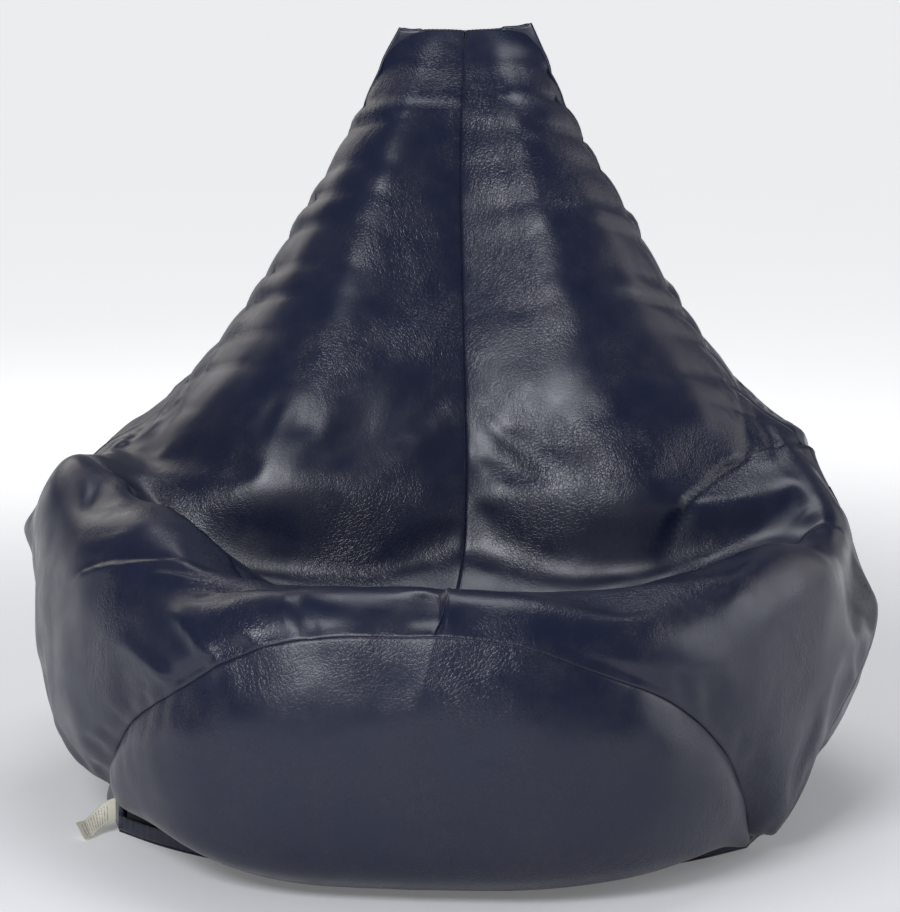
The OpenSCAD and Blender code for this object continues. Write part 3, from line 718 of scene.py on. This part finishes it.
def thicken(thing, amount):
    wall = thing.modifiers.new("thickness", "SOLIDIFY")
    wall.thickness = amount
    wall.offset = -1


def pulled_in(grid, amount):
    """A grid with its four edges moved in along the cloth."""
    out = grid.copy()
    out[0] += unit(grid[1] - grid[0]) * amount
    out[-1] += unit(grid[-2] - grid[-1]) * amount
    out[:, 0] += unit(grid[:, 1] - grid[:, 0]) * amount
    out[:, -1] += unit(grid[:, -2] - grid[:, -1]) * amount
    return out


def grid_mesh(name, grid, turned=False):
    return new_mesh(name, *merged(grid, grid_faces(*grid.shape[:2], turned)))


def sewn_panel(name, grid, normals, turned, material, turn_in=(True, True, True, True)):
    """A panel with its seam allowances turned in at its top, bottom, left and right edges."""
    edge = pulled_in(grid, EDGE_GAP)
    inner = pulled_in(grid, 2.5 * EDGE_GAP) - normals * ALLOWANCE
    top, bottom, left, right = turn_in
    for axis, first, last in ((0, top, bottom), (1, left, right)):
        take = [slice(None)] * 2
        for at, wanted in ((0, first), (-1, last)):
            if not wanted:
                continue
            take[axis] = slice(0, 1) if at == 0 else slice(-1, None)
            pair = (inner[tuple(take)], edge) if at == 0 else (edge, inner[tuple(take)])
            grown = (inner, inner[tuple(take)]) if at else (inner[tuple(take)], inner)
            edge = np.concatenate(pair, axis=axis)
            inner = np.concatenate(grown, axis=axis)
    thing = grid_mesh(name, edge, turned)
    thicken(thing, COVER_T)
    finish_piece(thing, material)
    return thing


def finish_piece(thing, material, body="bag", instead=()):
    thing.data.materials.append(material)
    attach(thing, body)
    if instead:
        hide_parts(*instead)


def tube(paths, radius, sides, reference):
    """Closed round tubes along paths of equal length: one points array (tube, ring, side) and its faces."""
    paths = np.asarray(paths, float)
    count, rings = paths.shape[:2]
    way = unit(np.gradient(paths, axis=1))
    b = unit(np.cross(way, reference))
    u = np.cross(b, way)
    turn = np.linspace(0, 2 * math.pi, sides, endpoint=False)
    size = np.full((rings, 1, 1), radius) if np.isscalar(radius) else np.asarray(radius).reshape(-1, 1, 1)
    around = np.cos(turn)[:, None] * u[:, :, None] + np.sin(turn)[:, None] * b[:, :, None]
    points = paths[:, :, None] + size * around
    ring, side = np.meshgrid(np.arange(rings - 1), np.arange(sides), indexing="ij")
    a = (ring * sides + side).ravel()
    c = (ring * sides + (side + 1) % sides).ravel()
    one = [tuple(f) for f in np.stack([a, c, c + sides, a + sides], axis=1).tolist()]
    one += [tuple(range(sides - 1, -1, -1)), tuple((rings - 1) * sides + k for k in range(sides))]
    faces = [tuple(v + n * rings * sides for v in f) for n in range(count) for f in one]
    return points.reshape(-1, 3), faces


STITCH = 4.2 * MM
THREAD_R = 0.42 * MM


def stitches(name, line, normals, sunk, instead, material):
    """Stitches along a seam: one short rounded thread after another, lying in the groove."""
    far = np.concatenate([[0], np.cumsum(np.linalg.norm(np.diff(line, axis=0), axis=1))])
    starts = np.arange(4 * MM, far[-1] - 4 * MM, STITCH)
    share = np.array([0, 0.06, 0.3, 0.5, 0.7, 0.94, 1.0]) * 0.86 * STITCH
    dip = np.array([1.0, 0.5, 0.05, 0, 0.05, 0.5, 1.0]) * 0.6 * MM
    at = starts[:, None] + share
    place = np.stack([np.interp(at, far, line[:, k]) for k in range(3)], axis=2)
    up = unit(np.stack([np.interp(at, far, normals[:, k]) for k in range(3)], axis=2))
    paths = place - up * (sunk + dip)[..., None]
    radius = THREAD_R * np.array([0.35, 0.8, 1, 1, 1, 0.8, 0.35])
    thing = new_mesh(name, *tube(paths, radius, 6, up))
    finish_piece(thing, material, instead=instead)


def behind_zip(points, room):
    """Points held back from the zip: what is inside the bag stays this far inside the zip's arc."""
    out = points.copy()
    flat = points[..., :2] - np.array([0, ZIP_Y * MM])
    r = np.linalg.norm(flat, axis=-1)
    limit = ZIP_R * MM - room
    caught = (r > limit) & (r < (EDGE_R + 0.5) * MM) & (points[..., 2] < (BAND_H + 8) * MM)
    scale = np.where(caught, limit / np.maximum(r, 1e-9), 1)
    out[..., 0] *= scale
    out[..., 1] = ZIP_Y * MM + flat[..., 1] * scale
    return out


def zip_arc(angle, r, z):
    """Point at an angle from the middle of the front (degrees), a radius and a height (mm)."""
    a = np.radians(np.asarray(angle, float) - 90)
    r, z = np.broadcast_arrays(np.asarray(r, float), np.asarray(z, float))
    a, r, z = np.broadcast_arrays(a, r, z)
    return np.stack([r * np.cos(a), ZIP_Y + r * np.sin(a), z], axis=-1) * MM


def ring_sheet(inner, outer, rings, height):
    """A flat sheet at one height between two loops with the same number of points."""
    grid = inner + (outer - inner) * np.linspace(0, 1, rings)[:, None, None]
    grid[..., 2] = height
    return np.concatenate([grid, grid[:, :1]], axis=1)


# ---- the pieces
def make_cover(skin, points, normals, leather_cloth):
    m = skin.middle
    right, left = slice(m, None), slice(0, m + 1)
    for name, panel, columns in (
            ("seat_panel_right", "seat", right), ("seat_panel_left", "seat", left),
            ("rear_panel_right", "rear", right), ("rear_panel_left", "rear", left),
            ("front_panel", "front", slice(None))):
        index = skin.index[panel][:, columns]
        edges = (True, False, False, False) if panel == "front" else (True,) * 4
        thing = sewn_panel("cover_" + name, points[index], normals[index], TURNED[panel],
                           leather_cloth, edges)
        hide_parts(name)


def make_threads(skin, points, normals, material):
    for name, seams in (
            ("sides", ("side_right", "side_left")), ("seat_centre", ("seat_centre",)),
            ("front_arc", ("front_arc",)), ("top", ("top",)),
            ("rear_centre", ("rear_centre",)), ("base", ("base",))):
        for n, seam in enumerate(seams):
            index = skin.seams[seam]
            stitches(f"stitches_{name}{'_left' if n else ''}", points[index], normals[index],
                     0.4 * MM, () if n else ("thread_" + name,), material)


def make_base(skin, points, base_leather):
    loop = points[skin.seams["base"][:-1]]
    outer = loop * (1 - 0.6 * MM / np.linalg.norm(loop, axis=1, keepdims=True))
    grid = ring_sheet(BASE_MIDDLE * unit(outer), outer, 26, BASE_T)
    p, f = merged(np.concatenate([grid.reshape(-1, 3), [[0, 0, BASE_T]]]),
                  grid_faces(*grid.shape[:2], True))
    middle = int(np.argmin(np.linalg.norm(p[:, :2], axis=1)))
    near = [int(np.argmin(np.linalg.norm(p - q, axis=1))) for q in grid[0, :-1]]
    f += [(near[n], near[(n + 1) % len(near)], middle) for n in range(len(near))]
    thing = new_mesh("base_sheet", p, f)
    upright(thing)
    thicken(thing, BASE_T)
    finish_piece(thing, base_leather, instead=("base_panel",))


def upright(thing):
    """Turns a flat sheet's faces over if they look down."""
    mesh = thing.data
    if sum(p.normal.z * p.area for p in mesh.polygons) < 0:
        mesh.flip_normals()


def make_facing(leather_cloth, thread):
    angles = np.linspace(-ZIP_HALF + 0.4, ZIP_HALF - 0.4, 220)
    profile = [(-6, 3.3), (-1.2, 3.1), (-0.1, 3.5), (0, 5), (0.1, 9), (0.05, 13), (-0.1, 16.2),
               (-0.5, 16.9)]
    wave = 0.22 * np.sin(angles * 5.1) + 0.15 * np.sin(angles * 11.3 + 1)
    grid = np.stack([zip_arc(angles, EDGE_R - 0.1 + out + wave * ease((z - 3) / 4), z + 0.3 * wave * (z > 8))
                     for out, z in profile])
    thing = grid_mesh("zip_facing_strip", grid)
    thicken(thing, FACING_T)
    finish_piece(thing, leather_cloth, instead=("zip_facing",))
    row = zip_arc(angles, EDGE_R + 0.05 + wave, 13.5)
    out = unit(row - np.array([0, ZIP_Y * MM, 0]) * [1, 1, 0] - row * [0, 0, 1])
    stitches("stitches_facing", row, out, -0.15 * MM, (), thread)


COIL_PITCH = 1.5
SLIDER_IN = 3.2                         # degrees from the zip's left end to the slider


def make_coils(nylon):
    """Each coil is a spiral of nylon wire sewn to its tape's edge."""
    half = ZIP_HALF - 1.6
    turns = int(math.radians(2 * half) * ZIP_R / COIL_PITCH)
    angle = np.linspace(-half + 0.03, half - 0.03, turns * 9)
    phase = np.linspace(0, 2 * math.pi * turns, turns * 9)
    for name, side in (("upper", 1), ("lower", -1)):
        r = ZIP_R + 0.82 * np.sin(phase)
        z = ZIP_Z + side * (2.0 + 0.85 * np.cos(phase))
        path = zip_arc(angle, r, z)
        axis = zip_arc(angle, ZIP_R, ZIP_Z + side * 2.0)
        thing = new_mesh("coil_" + name, *tube([path], 0.34 * MM, 5, (path - axis)[None]))
        finish_piece(thing, nylon, instead=("zip_coil_" + name,))


def rounded_box(low, high):
    """Corner points and faces of a box, for pieces that a bevel rounds."""
    p = [(x, y, z) for x in (low[0], high[0]) for y in (low[1], high[1]) for z in (low[2], high[2])]
    return p, [(0, 1, 3, 2), (4, 6, 7, 5), (0, 4, 5, 1), (2, 3, 7, 6), (0, 2, 6, 4), (1, 5, 7, 3)]


def make_slider(metal):
    """The zip's slider, in its own frame: X along the chain, Y out of the bag, Z up from the chain."""
    plate_half, low, high = 5.4, -4.65, 4.65
    parts = []
    for y0, y1 in ((-2.75, -1.6), (1.6, 2.75)):
        outline = [(-plate_half, -3.9), (-4.4, low), (2.0, low), (plate_half, -3.5), (plate_half, 3.5),
                   (2.0, high), (-4.4, high), (-plate_half, 3.9)]
        n = len(outline)
        p = [(x, y, z) for y in (y0, y1) for x, z in outline]
        f = [tuple(range(n)), tuple(range(2 * n - 1, n - 1, -1))]
        f += [(k, k + n, (k + 1) % n + n, (k + 1) % n) for k in range(n)]
        parts.append((p, f))
    for z0, z1 in ((low, low + 0.85), (high - 0.85, high)):
        for y0, y1 in ((-1.62, -0.72), (0.72, 1.62)):
            parts.append(rounded_box((-4.3, y0, z0), (1.9, y1, z1)))
    parts.append(rounded_box((-plate_half + 0.05, -1.62, -0.38), (-plate_half + 0.4, 1.62, 0.38)))
    points, faces = [], []
    for p, f in parts:
        faces += [tuple(v + len(points) for v in face) for face in f]
        points += p
    arch = np.array([[(2.7 * math.cos(t), 2.45 + 2.5 * math.sin(t), 0) for t in np.linspace(0, math.pi, 22)]])
    crown_p, crown_f = tube(arch, 0.55, 10, np.array([0, 0, 1.0]))
    middle = math.radians(-ZIP_HALF + SLIDER_IN - 90)
    along_chain = np.array([-math.sin(middle), math.cos(middle), 0])
    outward = np.array([math.cos(middle), math.sin(middle), 0])
    place = np.array([0, ZIP_Y, ZIP_Z]) + outward * ZIP_R

    def put(local):
        local = np.asarray(local, float)
        return (place + local[:, :1] * along_chain + local[:, 1:2] * outward
                + local[:, 2:] * np.array([0, 0, 1])) * MM

    body = new_mesh("slider_body", put(points), faces, smooth=False)
    b = bmesh.new()
    b.from_mesh(body.data)
    bmesh.ops.recalc_face_normals(b, faces=b.faces)
    b.to_mesh(body.data)
    b.free()
    bevel = body.modifiers.new("rounded", "BEVEL")
    bevel.width = 0.22 * MM
    bevel.segments = 3
    finish_piece(body, metal, body="zip_slider", instead=("zip_slider",))
    crown = new_mesh("slider_crown", put(crown_p), crown_f)
    finish_piece(crown, metal, body="zip_slider")


LABEL_LINE = [(2.5, 22.2), (7, 21.2), (13, 18.5), (18.5, 15.2), (24, 11.5), (29, 8.0), (34, 5.0),
              (42, 1.9)]
LABEL_W = 22
LABEL_ROWS, LABEL_COLUMNS = 40, 17
LABEL_TURN = math.radians(190)


def make_label(material):
    """The care label: a soft tape from the corner seam down to the floor, with a slight twist and curl."""
    line = smoothed([(s, 0, z) for s, z in LABEL_LINE], LABEL_ROWS)
    share = np.linspace(0, 1, LABEL_ROWS)
    across = np.linspace(-1, 1, LABEL_COLUMNS)
    root = np.array([-CORNER[0], CORNER[1], 0])
    grid = np.empty((LABEL_ROWS, LABEL_COLUMNS, 3))
    for n, (s, _, z) in enumerate(line):
        turn = LABEL_TURN + math.radians(30) * share[n]
        heading = np.array([math.cos(turn), math.sin(turn), 0])
        sideways = np.array([-heading[1], heading[0], 0])
        tilt = math.radians(78 - 46 * ease(1.3 * share[n]))
        out = across * LABEL_W / 2
        curl = 1.2 * share[n] * across ** 2
        curl = curl + np.sin(3.1 * across + 4 * share[n]) * share[n] * (1 - share[n])
        grid[n] = root + heading * s + (out * math.cos(tilt))[:, None] * sideways
        grid[n, :, 2] = max(z, LABEL_W / 2 * math.sin(tilt) + 0.6) - out * math.sin(tilt) + curl + 0.4
    thing = new_mesh("care_label_tape", grid.reshape(-1, 3) * MM,
                     grid_faces(LABEL_ROWS, LABEL_COLUMNS).tolist())
    upright(thing)
    layer = thing.data.uv_layers.new(name="cloth")
    for loop in thing.data.loops:
        n, k = divmod(loop.vertex_index, LABEL_COLUMNS)
        layer.data[loop.index].uv = (k / (LABEL_COLUMNS - 1), n / (LABEL_ROWS - 1))
    thicken(thing, LABEL_T)
    finish_piece(thing, material, instead=("care_label",))


def sunk(skin, points, depth, step=2 * MM):
    """The surface moved in by a depth, in small steps and smoothed, so that it never crosses itself."""
    f = skin.faces
    for _ in range(round(depth / step)):
        points = points - skin.normals(points) * step
        for _ in range(2):
            total = np.zeros_like(points)
            for c in range(4):
                np.add.at(total, f[:, c], points[f[:, c - 1]] + points[f[:, (c + 1) % 4]])
            count = 2 * np.bincount(f.ravel(), minlength=len(points))[:, None]
            mean = total / np.maximum(count, 1)
            mean[skin.hub] = points[skin.hub]
            points = 0.6 * points + 0.4 * mean
    return points


def make_inside(skin, points, cloth_material, bead_material):
    """Liner panels and the mass of beads, following the cover from inside, clear of its creases and seams."""
    deep = sunk(skin, points, LINER_UNDER)
    liner = behind_zip(deep, 4.2 * MM)
    liner[:, 2] = np.clip(liner[:, 2], 5.2 * MM, 700 * MM)
    front = np.concatenate([skin.index["front"], skin.index["band"][1:]])
    for name, index in (("liner_seat", skin.index["seat"]), ("liner_rear", skin.index["rear"]),
                        ("liner_front", front)):
        grid = pulled_in(liner[index], 0.4 * MM)
        thing = grid_mesh(name + "_cloth", grid, name == "liner_rear")
        thicken(thing, LINER_T)
        finish_piece(thing, cloth_material, instead=(name,))
    beads = behind_zip(deep - skin.normals(deep) * 1.5 * MM, 6.5 * MM)
    beads[:, 2] = np.clip(beads[:, 2], 8 * MM, 697 * MM)
    mass = new_mesh("bead_mass", beads, skin.quads())
    finish_piece(mass, bead_material, instead=("bead_fill",))
    loop = liner[skin.seams["base"][:-1]]
    turn = np.arctan2(loop[:, 1], loop[:, 0])
    slot = np.stack([0.214 * np.sign(np.cos(turn)) * np.abs(np.cos(turn)) ** 0.3,
                     0.0045 * np.sign(np.sin(turn)) * np.abs(np.sin(turn)) ** 0.3, 0 * turn], axis=1)
    grid = ring_sheet(slot, loop * [0.985, 0.985, 1], 16, 5.0 * MM)
    base = grid_mesh("liner_base_cloth", grid, True)
    upright(base)
    thicken(base, LINER_T)
    finish_piece(base, cloth_material, instead=("liner_base",))


def paint_node(name, material):
    """Gives a CAD node that stays in view its own material."""
    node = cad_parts[name]
    node.data.materials.clear()
    node.data.materials.append(material)


def beads_material():
    n = Nodes("beads")
    # Painted shade: each bead is lighter at its middle and darker towards the gaps between beads; the same
    # pattern gives the bumps.
    bead_shape_and_shade = n.ramp(n.cells(280), 0.0, 0.3)
    tone = n.mix(bead_shape_and_shade, (0.62, 0.62, 0.61), (0.86, 0.86, 0.85))
    return n.set(Base_Color=tone, Roughness=0.55, Normal=n.bump(bead_shape_and_shade, 0.0012, 0.8))


def label_material():
    """Cream satin tape with rows of plain grey marks that say nothing."""
    n = Nodes("label_satin")
    uv = n.add("ShaderNodeTexCoord").outputs["UV"]
    split = n.add("ShaderNodeSeparateXYZ", {0: uv}).outputs

    def within(value, middle, low, high):
        """One near a middle value, falling to nothing between two distances from it."""
        return n.ramp(n.math("ABSOLUTE", n.math("SUBTRACT", value, middle), 0), low, high, 1.0, 0.0)

    in_row = within(n.math("FRACT", n.math("MULTIPLY", split["Y"], 15), 0), 0.5, 0.13, 0.2)
    stretched = n.add("ShaderNodeMapping", {"Scale": (34, 15, 1), "Vector": uv}).outputs[0]
    words = n.ramp(n.noise(1.0, 2, 0.6, stretched)["Fac"], 0.42, 0.48)
    inside = n.math("MULTIPLY", within(split["X"], 0.5, 0.36, 0.38), within(split["Y"], 0.55, 0.36, 0.37))
    mark = n.math("MULTIPLY", n.math("MULTIPLY", in_row, words), inside)
    cream = n.mix(n.ramp(n.noise(60)["Fac"], 0.3, 0.7), (0.66, 0.62, 0.50), (0.76, 0.72, 0.60))
    weave = n.noise(1600, 2)["Fac"]
    return n.set(Base_Color=n.mix(n.math("MULTIPLY", mark, 0.75), cream, (0.16, 0.16, 0.17)), Roughness=0.45,
                 Normal=n.bump(weave, 0.00008, 0.5))


bpy.context.scene.view_settings.view_transform = "Standard"
make_camera()
make_studio()
LEATHER = leather("navy_leather", (0.0065, 0.0105, 0.034), (0.019, 0.020, 0.040))
BASE_LEATHER = leather("base_leather", (0.006, 0.008, 0.018), (0.012, 0.013, 0.020), 0.6)
THREAD = cloth("navy_thread", (0.014, 0.017, 0.036), (0.006, 0.008, 0.018), 900, 0.6)
LINER_CLOTH = cloth("liner_cloth", (0.78, 0.78, 0.76), (0.62, 0.62, 0.60), 420)
ZIP_TAPE = cloth("zip_tape", (0.016, 0.016, 0.018), (0.006, 0.006, 0.007), 520, 0.8)
NYLON = plastic("black_nylon", (0.010, 0.010, 0.011), 0.35)
WHITE_NYLON = plastic("white_nylon", (0.72, 0.72, 0.70), 0.4)
METAL = plastic("black_lacquer", (0.014, 0.014, 0.015), 0.28, 0.6, (0.12, 0.12, 0.12))

skin = Skin(FINE, SEAM_RINGS)
coarse = Skin(COARSE)
coarse_shift = filled(coarse)
filled_out = skin.points + skin.carried(coarse, coarse_shift)
outward = skin.normals(filled_out)
surface = finished_points(skin, filled_out)
make_cover(skin, surface, outward, LEATHER)
make_threads(skin, surface, outward, THREAD)
make_base(skin, surface, BASE_LEATHER)
make_facing(LEATHER, THREAD)
make_coils(NYLON)
make_slider(METAL)
make_label(label_material())
make_inside(coarse, sagged(coarse, coarse.points + coarse_shift), LINER_CLOTH, beads_material())
for node_name, finish in (
        ("zip_tape_upper", ZIP_TAPE), ("zip_tape_lower", ZIP_TAPE), ("zip_end_stops", METAL),
        ("liner_zip_tapes", LINER_CLOTH), ("liner_zip_coils", WHITE_NYLON), ("liner_slider", WHITE_NYLON)):
    paint_node(node_name, finish)
